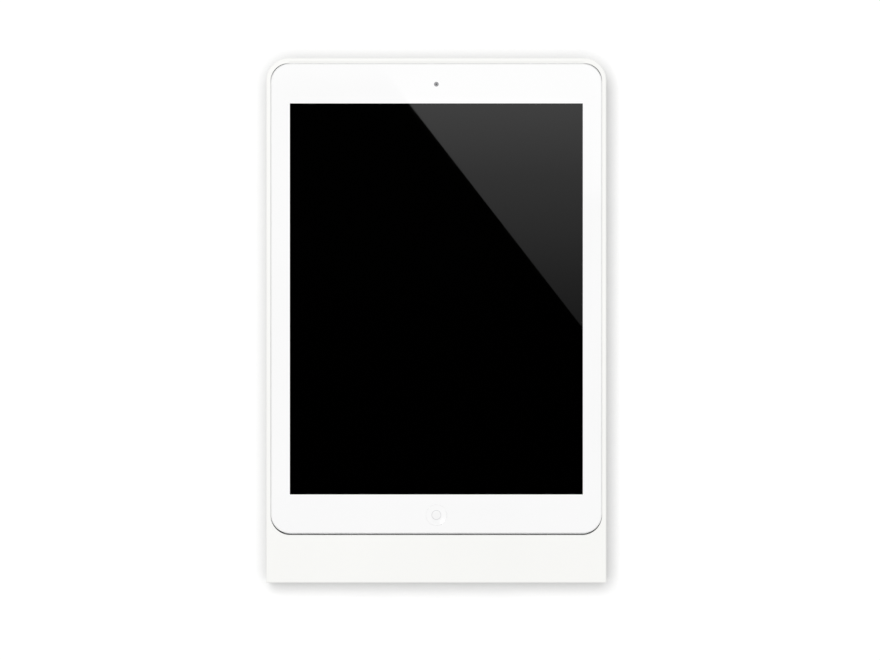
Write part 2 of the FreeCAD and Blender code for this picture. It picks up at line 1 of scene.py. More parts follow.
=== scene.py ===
"""Finishes and stage of the tablet wall mount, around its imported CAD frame.

Every length is in metres, in the frame of the CAD model: X to the right, Z up, and the front
towards -Y.
"""

import math

import bmesh
import bpy
from bpy.props import FloatProperty, FloatVectorProperty, PointerProperty
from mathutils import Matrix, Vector


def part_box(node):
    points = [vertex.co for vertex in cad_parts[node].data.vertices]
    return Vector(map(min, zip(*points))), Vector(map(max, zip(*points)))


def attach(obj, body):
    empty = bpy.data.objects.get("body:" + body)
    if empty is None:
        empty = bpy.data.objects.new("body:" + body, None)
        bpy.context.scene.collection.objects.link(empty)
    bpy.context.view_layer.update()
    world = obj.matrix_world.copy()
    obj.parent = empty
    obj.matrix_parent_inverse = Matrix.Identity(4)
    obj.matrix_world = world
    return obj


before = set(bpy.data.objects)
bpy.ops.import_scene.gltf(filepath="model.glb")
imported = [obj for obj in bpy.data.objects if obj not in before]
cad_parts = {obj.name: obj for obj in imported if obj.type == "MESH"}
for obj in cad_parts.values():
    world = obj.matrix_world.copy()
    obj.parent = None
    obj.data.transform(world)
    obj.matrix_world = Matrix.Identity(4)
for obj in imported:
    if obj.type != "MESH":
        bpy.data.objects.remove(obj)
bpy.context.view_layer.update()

bl_info = {
    "name": "Tablet wall mount",
    "version": (1, 0, 0),
    "blender": (4, 5, 0),
    "location": "View3D > Sidebar > Wall mount",
    "description": "Gives a tablet wall mount its finishes, and sets up its studio",
    "category": "Object",
}

MM = 0.001
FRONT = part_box("front_frame")[0].y
GLASS_FRONT, GLASS_BACK = (corner.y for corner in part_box("tablet_glass"))
TRAY_SKIN = 1.5 * MM
TRAY_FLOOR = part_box("wall_plate")[0].y - TRAY_SKIN


# Values that a user would change

def length(name, about, value):
    """A length in metres."""
    return FloatProperty(name=name, description=about, default=value, min=0.0, unit="LENGTH",
                         precision=5)


def share(name, about, value):
    """A plain number from nought to one."""
    return FloatProperty(name=name, description=about, default=value, min=0.0, max=1.0,
                         subtype="FACTOR")


def colour(name, about, value):
    """A linear colour."""
    return FloatVectorProperty(name=name, description=about, default=value, size=3, min=0.0,
                               max=1.0, subtype="COLOR")


class MountColours(bpy.types.PropertyGroup):
    """Colours of the mount's finishes."""

    coat: colour("Powder coat", "Satin white of the frame", (0.911, 0.911, 0.891))
    plastic: colour("Moulded plastic", "Tray, dock base and cradle", (0.70, 0.70, 0.69))
    zinc: colour("Galvanised steel", "Wall plate and keepers", (0.56, 0.58, 0.59))
    screw: colour("Screw steel", "Screws, shields and cradle cap", (0.68, 0.67, 0.65))
    nickel: colour("Nickel", "Plating of the magnets", (0.72, 0.69, 0.64))
    rubber: colour("Rubber", "Pads that the tablet rests on", (0.018, 0.018, 0.019))
    anodised: colour("Anodised aluminium", "Tablet housing and keys", (0.74, 0.745, 0.76))
    border: colour("Glass border", "White ink under the glass", (0.970, 0.970, 0.970))
    screen: colour("Screen", "Display that is switched off", (0.0001, 0.0001, 0.0001))
    gasket: colour("Gasket", "Ring between glass and housing", (0.82, 0.82, 0.81))
    button: colour("Home button", "White of the home button", (0.93, 0.93, 0.93))


class MountSizes(bpy.types.PropertyGroup):
    """Sizes of what is printed on the glass and of the grain of the finishes."""

    screen_width: length("Screen width", "Width of the black window", 0.1490)
    screen_height: length("Screen height", "Height of the black window", 0.1989)
    screen_up: length("Screen height above the middle", "Middle of the black window", 0.0109)
    camera_up: length("Camera height", "Front camera above the middle", 0.1201)
    camera_rim: length("Camera rim", "Radius of the front camera's rim", 0.0012)
    camera_eye: length("Camera eye", "Radius of the front camera's dark eye", 0.00030)
    ring_radius: length("Ring radius", "Radius of the plain ring on the home button", 0.0023)
    ring_width: length("Ring width", "Width of the line of that ring", 0.0003)
    coat_grain: length("Coat grain", "Size of the powder coat's texture", 0.0007)
    plastic_grain: length("Plastic grain", "Size of the moulded texture", 0.0004)
    spangle: length("Spangle", "Size of the zinc crystals", 0.0045)


class MountStudio(bpy.types.PropertyGroup):
    """Lamps, wall and camera."""

    sky: FloatProperty(name="Sky", description="Light from all round", default=0.78, min=0.0)
    key: FloatProperty(name="Key lamp", description="Power of the key lamp in watts",
                       default=36.6, min=0.0, subtype="POWER")
    wall_glow: share("Wall glow", "Light that the wall adds so that it shows white", 0.04)
    floor_glow: share("Floor glow", "Light that the floor adds so that it shows white", 0.2)
    # The next two values set painted shade in the colour of the wall and the floor: how much
    # darker they are painted close to the mount, and how far out that painted shade reaches.
    wall_painted_shade: share("Wall crease", "How much the wall darkens close to the mount", 0.56)
    painted_shade_reach: length("Crease reach", "How far from the mount the wall darkens", 0.009)
    distance: length("Camera distance", "From the mount's front to the camera", 1.5)
    lens: FloatProperty(name="Lens", description="Focal length in millimetres", default=120.7,
                        min=1.0, subtype="DISTANCE_CAMERA")
    aim_x: FloatProperty(name="Aim across", description="Camera's place across",
                         default=0.00186, unit="LENGTH")
    aim_z: FloatProperty(name="Aim up", description="Camera's height", default=-0.0049,
                         unit="LENGTH")


# Node helpers

def add(tree, kind, inputs=None, **settings):
    """Adds a shader node. An input is a value, or the socket that feeds it."""
    node = tree.nodes.new("ShaderNode" + kind)
    for name, value in settings.items():
        setattr(node, name, value)
    for name, value in (inputs or {}).items():
        if isinstance(value, bpy.types.NodeSocket):
            tree.links.new(value, node.inputs[name])
        else:
            node.inputs[name].default_value = value
    return node


def calc(tree, operation, *values):
    """One step of arithmetic."""
    return add(tree, "Math", dict(enumerate(values)), operation=operation).outputs[0]


def spread(tree, value, low, high, start=0.3, end=0.7):
    """Maps the middle of a noise onto a range."""
    limits = {"Value": value, "From Min": start, "From Max": end, "To Min": low, "To Max": high}
    return add(tree, "MapRange", limits).outputs["Result"]


def noise(tree, size, detail=2.0, stretch=(1.0, 1.0, 1.0)):
    """A noise with features of that size, in the place of the surface itself."""
    spot = add(tree, "TexCoord").outputs["Object"]
    if stretch != (1.0, 1.0, 1.0):
        spot = add(tree, "Mapping", {"Vector": spot, "Scale": stretch}).outputs["Vector"]
    settings = {"Vector": spot, "Scale": 1.0 / size, "Detail": detail}
    return add(tree, "TexNoise", settings).outputs["Fac"]


def mixed(tree, share_of, first, second):
    """A colour between two."""
    node = add(tree, "Mix", data_type="RGBA")
    for socket, value in ((0, share_of), (6, first), (7, second)):
        if isinstance(value, bpy.types.NodeSocket):
            tree.links.new(value, node.inputs[socket])
        else:
            node.inputs[socket].default_value = value if socket == 0 else rgba(value)
    return node.outputs[2]


def rgba(value):
    """A colour with its alpha."""
    return (*value[:3], 1.0)


def shade(value, factor):
    """A colour made darker or lighter."""
    return tuple(min(1.0, part * factor) for part in value[:3])


def bump(tree, height, depth, under=None):
    """A relief of that depth."""
    inputs = {"Height": height, "Distance": depth, "Strength": 1.0}
    if under is not None:
        inputs["Normal"] = under
    return add(tree, "Bump", inputs).outputs["Normal"]


def soft_edge(tree, radius):
    """Normals that round the sharp edges a little, as moulds and cutters leave them."""
    return add(tree, "Bevel", {"Radius": radius}, samples=6).outputs["Normal"]


def material(name, surface, **fixed):
    """A material: surface(tree) gives what varies, and fixed holds the shader's own numbers."""
    made = bpy.data.materials.new(name)
    made.use_nodes = True
    tree = made.node_tree
    tree.nodes.clear()
    inputs = {key.replace("_", " "): value for key, value in fixed.items()}
    inputs.update(surface(tree))
    shader = add(tree, "BsdfPrincipled", inputs)
    add(tree, "OutputMaterial", {"Surface": shader.outputs["BSDF"]})
    return made


def dress(node, made):
    """Gives a CAD node its material."""
    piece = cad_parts[node]
    for slot in piece.material_slots:
        slot.link = "OBJECT"
        slot.material = made


# Finishes

# Ejector pins of the tray's mould: where their grid starts and its pitch, along each side.
PIN_GRID = {"X": (25.0 * MM, 50.0 * MM), "Z": (-24.0 * MM, 37.6 * MM)}
PIN_RADIUS = 2.0 * MM
PIN_LINE = 0.12 * MM
PIN_DEPTH = 0.08 * MM
FLOOR_BAND = 0.05 * MM

# How far edges are rounded, as radii.
MOULD_EDGE = 0.3 * MM
GASKET_EDGE = 0.02 * MM
RUBBER_EDGE = 0.3 * MM
STEEL_EDGE = 0.15 * MM

CAMERA_RIM_TONE = (0.31, 0.31, 0.32)
CAMERA_EYE_TONE = (0.004, 0.004, 0.006)
RING_TONE = (0.70, 0.70, 0.71)


def powder_coat(look, sizes):
    """Satin powder coat: a fine orange-peel relief and a slight drift of tone."""
    def surface(tree):
        peel = noise(tree, sizes.coat_grain, 3.0)
        drift = noise(tree, 0.06, 2.0)
        tone = mixed(tree, spread(tree, drift, 0.0, 1.0), shade(look.coat, 0.985), look.coat)
        return {"Base Color": tone,
                "Roughness": spread(tree, peel, 0.40, 0.52),
                "Normal": bump(tree, peel, 0.02 * MM)}
    return material("powder_coat", surface, Coat_Weight=0.08, Coat_Roughness=0.3)


def moulded(name, shade_of, grain, depth=0.02 * MM, rough=(0.5, 0.62), edge=MOULD_EDGE,
            marks=None):
    """Moulded plastic: spark-eroded grain, flow marks, and rings where pins pushed it out.

    The rings lie on the floor whose place along Y is given as marks.
    """
    def surface(tree):
        fine = noise(tree, grain, 2.0)
        flow = noise(tree, 0.03, 3.0, (1.0, 1.0, 0.35))
        tone = mixed(tree, spread(tree, flow, 0.0, 1.0), shade(shade_of, 0.965), shade_of)
        relief = bump(tree, fine, depth, soft_edge(tree, edge))
        if marks is not None:
            rings = pin_marks(tree, marks)
            tone = mixed(tree, calc(tree, "MULTIPLY", rings, 0.35), tone, shade(shade_of, 0.7))
            relief = bump(tree, calc(tree, "SUBTRACT", 1.0, rings), PIN_DEPTH, relief)
        return {"Base Color": tone, "Roughness": spread(tree, fine, *rough), "Normal": relief}
    return material(name, surface)


def pin_marks(tree, floor):
    """One on the rings that ejector pins leave on a moulded floor, and nought elsewhere."""
    spot = add(tree, "TexCoord").outputs["Object"]
    place = add(tree, "SeparateXYZ", {"Vector": spot})
    squares = []
    for side, (shift, pitch) in PIN_GRID.items():
        cell = calc(tree, "PINGPONG", calc(tree, "ADD", place.outputs[side], shift), pitch / 2)
        squares.append(calc(tree, "MULTIPLY", cell, cell))
    away = calc(tree, "SQRT", calc(tree, "ADD", *squares))
    ring = within(tree, away, PIN_RADIUS, PIN_LINE)
    return calc(tree, "MULTIPLY", ring, within(tree, place.outputs["Y"], floor, FLOOR_BAND))


def galvanised(look, sizes):
    """Hot-dipped zinc: a spangle of crystals, each with its own tone and gloss."""
    def surface(tree):
        spot = add(tree, "TexCoord").outputs["Object"]
        bend = add(tree, "TexNoise", {"Vector": spot, "Scale": 1.0 / sizes.spangle})
        bent = add(tree, "VectorMath", {0: bend.outputs["Color"],
                                        "Scale": 0.5 * sizes.spangle},
                   operation="SCALE").outputs[0]
        there = add(tree, "VectorMath", {0: spot, 1: bent}, operation="ADD").outputs[0]
        cells = add(tree, "TexVoronoi", {"Vector": there, "Scale": 1.0 / sizes.spangle})
        parts = add(tree, "SeparateColor", {"Color": cells.outputs["Color"]})
        ferns = noise(tree, 0.0009, 4.0, (1.0, 1.0, 3.0))
        tone = mixed(tree, parts.outputs["Red"], shade(look.zinc, 0.90), shade(look.zinc, 1.07))
        gloss = spread(tree, parts.outputs["Green"], 0.32, 0.46, 0.0, 1.0)
        rough = calc(tree, "ADD", gloss, spread(tree, ferns, -0.05, 0.05))
        return {"Base Color": tone, "Roughness": rough,
                "Normal": bump(tree, ferns, 0.006 * MM)}
    return material("galvanised", surface, Metallic=1.0)


def drawn_steel(look):
    """Zinc-plated steel with fine drawing lines and small dull spots."""
    def surface(tree):
        lines = noise(tree, 0.002, 3.0, (14.0, 14.0, 1.0))
        spots = noise(tree, 0.0012, 4.0)
        tone = mixed(tree, spread(tree, spots, 0.0, 1.0), shade(look.screw, 0.91), look.screw)
        return {"Base Color": tone,
                "Roughness": spread(tree, lines, 0.22, 0.4),
                "Normal": bump(tree, lines, 0.004 * MM, soft_edge(tree, STEEL_EDGE))}
    return material("drawn_steel", surface, Metallic=1.0)


def nickel(look):
    """Nickel plating: bright, with grinding lines and a few dull scuffs."""
    def surface(tree):
        lines = noise(tree, 0.0015, 2.0, (1.0, 1.0, 18.0))
        scuffs = noise(tree, 0.003, 5.0)
        tone = mixed(tree, spread(tree, scuffs, 0.0, 1.0), shade(look.nickel, 0.95),
                     look.nickel)
        return {"Base Color": tone,
                "Roughness": spread(tree, scuffs, 0.16, 0.25),
                "Normal": bump(tree, lines, 0.002 * MM)}
    return material("nickel", surface, Metallic=1.0)


def rubber(look):
    """Matt rubber: fine pores and a little dust in them."""
    def surface(tree):
        pores = noise(tree, 0.0005, 3.0)
        dust = noise(tree, 0.008, 4.0)
        tone = mixed(tree, spread(tree, dust, 0.0, 1.0), look.rubber, shade(look.rubber, 2.4))
        return {"Base Color": tone,
                "Roughness": spread(tree, pores, 0.72, 0.9),
                "Normal": bump(tree, pores, 0.04 * MM, soft_edge(tree, RUBBER_EDGE))}
    return material("rubber", surface, Specular_IOR_Level=0.35)


def anodised(look):
    """Bead-blasted anodised aluminium."""
    def surface(tree):
        beads = noise(tree, 0.00018, 1.0)
        drift = noise(tree, 0.05, 2.0)
        tone = mixed(tree, spread(tree, drift, 0.0, 1.0), shade(look.anodised, 0.97),
                     look.anodised)
        return {"Base Color": tone,
                "Roughness": spread(tree, beads, 0.30, 0.42),
                "Normal": bump(tree, beads, 0.003 * MM, soft_edge(tree, STEEL_EDGE))}
    return material("anodised", surface, Metallic=1.0)


def within(tree, place, middle, half):
    """One where a place is nearer to a middle than that, and nought elsewhere."""
    off = calc(tree, "ABSOLUTE", calc(tree, "SUBTRACT", place, middle))
    return calc(tree, "LESS_THAN", off, half)


def reach(tree, across, up, middle):
    """Distance from a point at that height on the middle line."""
    rise = calc(tree, "SUBTRACT", up, middle)
    squares = calc(tree, "ADD", calc(tree, "MULTIPLY", across, across),
                   calc(tree, "MULTIPLY", rise, rise))
    return calc(tree, "SQRT", squares)


def front_glass(look, sizes):
    """Glass over white ink, with the black window of the screen and the camera's eye."""
    def surface(tree):
        spot = add(tree, "TexCoord").outputs["Object"]
        place = add(tree, "SeparateXYZ", {"Vector": spot})
        across, up = place.outputs["X"], place.outputs["Z"]
        window = calc(tree, "MULTIPLY", within(tree, across, 0.0, sizes.screen_width / 2),
                      within(tree, up, sizes.screen_up, sizes.screen_height / 2))
        eye = reach(tree, across, up, sizes.camera_up)
        drift = noise(tree, 0.05, 2.0)
        ink = mixed(tree, spread(tree, drift, 0.0, 1.0), shade(look.border, 0.99), look.border)
        rim = calc(tree, "LESS_THAN", eye, sizes.camera_rim)
        pupil = calc(tree, "LESS_THAN", eye, sizes.camera_eye)
        tone = mixed(tree, window, ink, look.screen)
        tone = mixed(tree, rim, tone, CAMERA_RIM_TONE)
        tone = mixed(tree, pupil, tone, CAMERA_EYE_TONE)
        wipes = noise(tree, 0.02, 3.0, (1.0, 1.0, 3.0))
        return {"Base Color": tone, "Roughness": spread(tree, wipes, 0.008, 0.014)}
    return material("front_glass", surface, IOR=1.5)


def home_white(look, sizes, up):
    """Glossy white of the home button, with a plain thin ring."""
    def surface(tree):
        spot = add(tree, "TexCoord").outputs["Object"]
        place = add(tree, "SeparateXYZ", {"Vector": spot})
        away = reach(tree, place.outputs["X"], place.outputs["Z"], up)
        ring = within(tree, away, sizes.ring_radius, sizes.ring_width / 2)
        tone = mixed(tree, ring, look.button, RING_TONE)
        wipes = noise(tree, 0.004, 3.0)
        return {"Base Color": tone, "Roughness": spread(tree, wipes, 0.06, 0.12)}
    return material("home_white", surface, IOR=1.5)


def lens_glass():
    """Dark coated glass of the rear lens: rings of the barrel under it."""
    def surface(tree):
        spot = add(tree, "TexCoord").outputs["Object"]
        lo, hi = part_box("camera_lens")
        middle = (-(lo.x + hi.x) / 2, 0.0, -(lo.z + hi.z) / 2)
        moved = add(tree, "Mapping", {"Vector": spot, "Location": middle}).outputs["Vector"]
        rings = add(tree, "TexWave", {"Vector": moved, "Scale": 420.0, "Distortion": 0.0},
                    wave_type="RINGS", rings_direction="Y").outputs["Fac"]
        tone = mixed(tree, rings, (0.003, 0.003, 0.005), (0.02, 0.018, 0.03))
        smears = noise(tree, 0.003, 2.0)
        return {"Base Color": tone, "Roughness": spread(tree, smears, 0.02, 0.06)}
    return material("lens_glass", surface, IOR=1.6, Coat_Weight=0.5, Coat_Roughness=0.02)


def board_mask():
    """Green solder mask over a fine weave, with pale copper islands."""
    def surface(tree):
        spot = add(tree, "TexCoord").outputs["Object"]
        cells = add(tree, "TexVoronoi", {"Vector": spot, "Scale": 700.0}, feature="F1")
        isle = calc(tree, "LESS_THAN", cells.outputs["Distance"], 0.18)
        weave = noise(tree, 0.0008, 2.0, (1.0, 1.0, 4.0))
        tone = mixed(tree, spread(tree, weave, 0.0, 1.0), (0.008, 0.075, 0.035),
                     (0.016, 0.11, 0.055))
        tone = mixed(tree, isle, tone, (0.45, 0.40, 0.20))
        return {"Base Color": tone, "Roughness": spread(tree, weave, 0.3, 0.45),
                "Normal": bump(tree, weave, 0.01 * MM)}
    return material("board_mask", surface)


# Pieces of the scene's own

# The polished ring round the rear lens.
LENS_RING_WIDTH = 0.55 * MM
LENS_RING_PROUD = 0.12 * MM

# The microphone's hole, beside that ring.
MICROPHONE_OFF = 9.0 * MM
MICROPHONE_RADIUS = 0.45 * MM
MICROPHONE_PROUD = 0.01 * MM

# The sleeve that closes the gap round the home button.
SEAL_INNER = 5.27 * MM
SEAL_OUTER = 5.372 * MM
SEAL_EDGE = 0.03 * MM
SEAL_BEHIND_FRONT = 0.03 * MM
SEAL_BEHIND_GLASS = 0.1 * MM
SEAL_STEPS = 96

SUNK = 0.02 * MM
ON_LINE = 1e-9
SAME_POINT = 1e-8


def ring_profile(inner, outer, base, proud):
    """Section of a flat ring on the housing's back, as (radius, depth), with rounded edges."""
    edge = min(proud, (outer - inner) / 3)
    sunk = base - SUNK
    return [(inner, sunk), (outer, sunk), (outer, base + proud - edge),
            (outer - 0.3 * edge, base + proud - 0.3 * edge), (outer - edge, base + proud),
            (inner + edge, base + proud), (inner + 0.3 * edge, base + proud - 0.3 * edge),
            (inner, base + proud - edge)]


def seal_profile(front, back):
    """Section of the thin sleeve round the home button, as (radius, depth)."""
    return [(SEAL_INNER, back), (SEAL_OUTER, back), (SEAL_OUTER, front + SEAL_EDGE),
            (SEAL_OUTER - SEAL_EDGE, front), (SEAL_INNER, front)]


def turned(name, profile, x, z, steps=64):
    """A solid turned about a line along Y at that place."""
    mesh = bmesh.new()
    rings = []
    for radius, y in profile:
        if radius < ON_LINE:
            rings.append([mesh.verts.new((x, y, z))] * steps)
            continue
        turn = [2 * math.pi * i / steps for i in range(steps)]
        rings.append([mesh.verts.new((x + radius * math.cos(a), y, z + radius * math.sin(a)))
                      for a in turn])
    for first, second in zip(rings, rings[1:] + rings[:1]):
        for i in range(steps):
            corners = []
            for corner in (first[i], first[i - 1], second[i - 1], second[i]):
                if corner not in corners:
                    corners.append(corner)
            if len(corners) > 2:
                mesh.faces.new(corners)
    bmesh.ops.remove_doubles(mesh, verts=mesh.verts, dist=SAME_POINT)
    bmesh.ops.recalc_face_normals(mesh, faces=mesh.faces)
    data = bpy.data.meshes.new(name)
    mesh.to_mesh(data)
    mesh.free()
    for face in data.polygons:
        face.use_smooth = True
    piece = bpy.data.objects.new(name, data)
    bpy.context.scene.collection.objects.link(piece)
    return piece


def finish_piece(piece, made, body):
    """Gives a piece its material and the body that it rides on."""
    piece.data.materials.append(made)
    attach(piece, body)


# Operators, one for each group of like pieces

class MOUNT_OT_frame(bpy.types.Operator):
    """Finish the white frame"""

    bl_idname = "wall_mount.frame"
    bl_label = "Frame"

    def execute(self, context):
        look, sizes = context.scene.mount_colours, context.scene.mount_sizes
        dress("front_frame", powder_coat(look, sizes))
        return {"FINISHED"}


class MOUNT_OT_steel(bpy.types.Operator):
    """Finish the wall plate, the keepers, the screws and the cradle's cap"""

    bl_idname = "wall_mount.steel"
    bl_label = "Steel parts"

    def execute(self, context):
        look, sizes = context.scene.mount_colours, context.scene.mount_sizes
        zinc = galvanised(look, sizes)
        for node in ("wall_plate", "chin_keepers", "top_keepers"):
            dress(node, zinc)
        steel = drawn_steel(look)
        for node in ("tray_screws", "cradle_cap", "board_shields", "port_connector"):
            dress(node, steel)
        return {"FINISHED"}


class MOUNT_OT_plastic(bpy.types.Operator):
    """Finish the tray, the dock base and the sliding cradle"""

    bl_idname = "wall_mount.plastic"
    bl_label = "Moulded parts"

    def execute(self, context):
        look, sizes = context.scene.mount_colours, context.scene.mount_sizes
        tray = moulded("tray_plastic", look.plastic, sizes.plastic_grain, marks=TRAY_FLOOR)
        for node in ("tray", "dock_base"):
            dress(node, tray)
        dress("plug_cradle", moulded("cradle_plastic", shade(look.plastic, 1.04),
                                     sizes.plastic_grain))
        return {"FINISHED"}


class MOUNT_OT_pads(bpy.types.Operator):
    """Finish the rubber pads and the magnets"""

    bl_idname = "wall_mount.pads"
    bl_label = "Pads and magnets"

    def execute(self, context):
        look = context.scene.mount_colours
        soft = rubber(look)
        for node in ("rest_pads", "ledge_pads"):
            dress(node, soft)
        plating = nickel(look)
        for node in ("chin_magnets", "top_magnets"):
            dress(node, plating)
        return {"FINISHED"}


class MOUNT_OT_tablet(bpy.types.Operator):
    """Finish the tablet's housing, keys, gasket and lens"""

    bl_idname = "wall_mount.tablet"
    bl_label = "Tablet"

    def execute(self, context):
        look = context.scene.mount_colours
        metal = anodised(look)
        for node in ("tablet_housing", "power_button", "volume_up", "volume_down",
                     "side_switch"):
            dress(node, metal)
        dress("glass_gasket", moulded("gasket", look.gasket, 0.5 * MM, 0.005 * MM,
                                      edge=GASKET_EDGE))
        dress("camera_lens", lens_glass())
        low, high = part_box("camera_lens")
        x, z, back = (low.x + high.x) / 2, (low.z + high.z) / 2, high.y
        rim = (high.x - low.x) / 2
        ring = turned("lens_ring",
                      ring_profile(rim, rim + LENS_RING_WIDTH, back, LENS_RING_PROUD), x, z)
        finish_piece(ring, nickel(look), "tablet")
        hole = turned("microphone",
                      ring_profile(0.0, MICROPHONE_RADIUS, back, MICROPHONE_PROUD),
                      x - MICROPHONE_OFF, z)
        finish_piece(hole, moulded("microphone_mesh", (0.01, 0.01, 0.01), 0.2 * MM),
                     "tablet")
        return {"FINISHED"}


class MOUNT_OT_glass(bpy.types.Operator):
    """Finish the glass with its black window, and the home button"""

    bl_idname = "wall_mount.glass"
    bl_label = "Glass and home button"

    def execute(self, context):
        look, sizes = context.scene.mount_colours, context.scene.mount_sizes
        dress("tablet_glass", front_glass(look, sizes))
        low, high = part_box("home_button")
        middle = (low.z + high.z) / 2
        white = home_white(look, sizes, middle)
        dress("home_button", white)
        seal = turned("home_seal", seal_profile(GLASS_FRONT + SEAL_BEHIND_FRONT,
                                                GLASS_BACK + SEAL_BEHIND_GLASS),
                      0.0, middle, SEAL_STEPS)
        finish_piece(seal, white, "home_button")
        return {"FINISHED"}


class MOUNT_OT_inside(bpy.types.Operator):
    """Finish the parts inside the tablet"""

    bl_idname = "wall_mount.inside"
    bl_label = "Inside parts"

    def execute(self, context):
        black = moulded("black_plastic", (0.012, 0.012, 0.013), 0.3 * MM, 0.01 * MM,
                        (0.4, 0.6))
        for node in ("front_camera", "rear_camera", "speakers", "headphone_jack", "home_switch",
                     "button_switches"):
            dress(node, black)
        dress("display_panel", moulded("display_black", (0.004, 0.004, 0.005), 2.0 * MM,
                                       0.002 * MM, (0.12, 0.2)))
        dress("battery_cells", moulded("battery_foil", (0.06, 0.06, 0.065), 6.0 * MM,
                                       0.15 * MM, (0.25, 0.4)))
        dress("logic_board", board_mask())
        return {"FINISHED"}


# Studio

WALL_BACK = 0.5 * MM
FLOOR_DROP = 0.25
FLOOR_GAP = 12.0 * MM
STAGE_REACH = 3.0

KEY_PLACE = (-0.79, -3.3, 1.02)
KEY_SIZE = 2.0

# Cards that only reflections see, this far behind the camera. Their corners, and the heights
# at which their strength changes, are those of their mirror images in the glass.
CARD_BEHIND = 0.25
LIT_BEFORE_DARK = 0.01
DARK_HALF, DARK_TOP, DARK_LOW = 0.087, 0.133, -0.115
DARK_STOPS = ((0.118, 0.0), (0.126, 0.35))
WEDGE_CORNERS = ((-0.0309, 0.132), (0.0735, -0.0029), (0.0748, -0.0029), (0.0748, 0.132))
WEDGE_STOPS = ((0.0, 0.27), (0.0203, 0.39), (0.0734, 0.80), (0.109, 1.27), (0.113, 0.65),
               (0.132, 0.60))
SIDE_CORNERS = ((0.0748, 0.0585), (0.0868, 0.0585), (0.0868, 0.132), (0.0748, 0.132))
SIDE_STOPS = ((0.0585, 0.0), (0.0675, 0.62), (0.132, 0.66))

# A dark card further off. The screen mirrors it only towards a raised camera.
FAR_CARD_OFF = 6.0
FAR_HALF, FAR_TOP, FAR_LOW = 0.44, -0.652, -0.85


def sheet_of(name, corners, made):
    """A flat piece of the stage."""
    mesh = bpy.data.meshes.new(name)
    mesh.from_pydata(corners, [], [tuple(range(len(corners)))])
    mesh.materials.append(made)
    piece = bpy.data.objects.new(name, mesh)
    bpy.context.scene.collection.objects.link(piece)
    return piece


def backdrop(name, studio, glow):
    """Paper that only the camera sees, from its front: it keeps shadows, carries painted shade
    close to the mount, and lets light by.
    """
    made = bpy.data.materials.new(name)
    made.use_nodes = True
    tree = made.node_tree
    tree.nodes.clear()
    # Painted shade: an ambient occlusion node darkens the paper's colour and its glow close to
    # the mount.
    painted_shade_ao = add(tree, "AmbientOcclusion", {"Distance": studio.painted_shade_reach}, samples=16)
    painted_shade_tone = spread(tree, painted_shade_ao.outputs["AO"], 1.0 - studio.wall_painted_shade, 1.0, 0.0, 1.0)
    paper = add(tree, "BsdfDiffuse", {"Color": painted_shade_tone})
    light = add(tree, "Emission", {"Color": painted_shade_tone, "Strength": glow})
    lit = add(tree, "AddShader", {0: paper.outputs[0], 1: light.outputs[0]})
    clear = add(tree, "BsdfTransparent")
    back = add(tree, "NewGeometry").outputs["Backfacing"]
    ahead = calc(tree, "SUBTRACT", 1.0, back)
    seen = calc(tree, "MULTIPLY", add(tree, "LightPath").outputs["Is Camera Ray"], ahead)
    both = add(tree, "MixShader", {0: seen, 1: clear.outputs[0], 2: lit.outputs[0]})
    add(tree, "OutputMaterial", {"Surface": both.outputs[0]})
    return made


def box_corners(half, low, top):
    """Corners of an upright card that stands square to the middle line, as (x, z)."""
    return (-half, low), (half, low), (half, top), (-half, top)


def glossy_only(piece):
    """A card that shows in reflections and nowhere else."""
    piece.visible_camera = False
    piece.visible_diffuse = False
    piece.visible_shadow = False
    piece.visible_transmission = False
    piece.visible_volume_scatter = False


def card_material(name, stops):
    """Light that falls off down the card. A stop is (height, strength)."""
    made = bpy.data.materials.new(name)
    made.use_nodes = True
    tree = made.node_tree
    tree.nodes.clear()
    up = add(tree, "SeparateXYZ", {"Vector": add(tree, "TexCoord").outputs["Object"]})
    low, high = stops[0][0], stops[-1][0]
    along = spread(tree, up.outputs["Z"], 0.0, 1.0, low, high)
    ramp = add(tree, "ValToRGB", {"Fac": along})
    marks = ramp.color_ramp.elements
    while len(marks) < len(stops):
        marks.new(0.5)
    for mark, (height, strength) in zip(marks, stops):
        mark.position = (height - low) / (high - low)
        mark.color = (strength, strength, strength, 1.0)
    glow = add(tree, "Emission", {"Color": ramp.outputs["Color"]})
    add(tree, "OutputMaterial", {"Surface": glow.outputs[0]})
    return made


def lamp(name, place, aim, size, power):
    """A soft square lamp."""
    light = bpy.data.lights.new(name, "AREA")
    light.shape = "SQUARE"
    light.size = size
    light.energy = power
    piece = bpy.data.objects.new(name, light)
    piece.location = place
    turn = (Vector(aim) - Vector(place)).to_track_quat("-Z", "Y")
    piece.rotation_euler = turn.to_euler()
    bpy.context.scene.collection.objects.link(piece)
    return piece


def sky(strength):
    """A white sky: full white where it is seen, and weaker as a light."""
    world = bpy.data.worlds.new("studio")
    bpy.context.scene.world = world
    world.use_nodes = True
    tree = world.node_tree
    tree.nodes.clear()
    path = add(tree, "LightPath")
    seen = calc(tree, "MAXIMUM", path.outputs["Is Camera Ray"],
                calc(tree, "MAXIMUM", path.outputs["Is Glossy Ray"],
                     path.outputs["Is Transmission Ray"]))
    level = add(tree, "Mix", data_type="FLOAT")
    tree.links.new(seen, level.inputs[0])
    level.inputs[2].default_value = strength
    level.inputs[3].default_value = 1.0
    glow = add(tree, "Background", {"Color": (1.0, 1.0, 1.0, 1.0),
                                    "Strength": level.outputs[0]})
    add(tree, "OutputWorld", {"Surface": glow.outputs[0]})


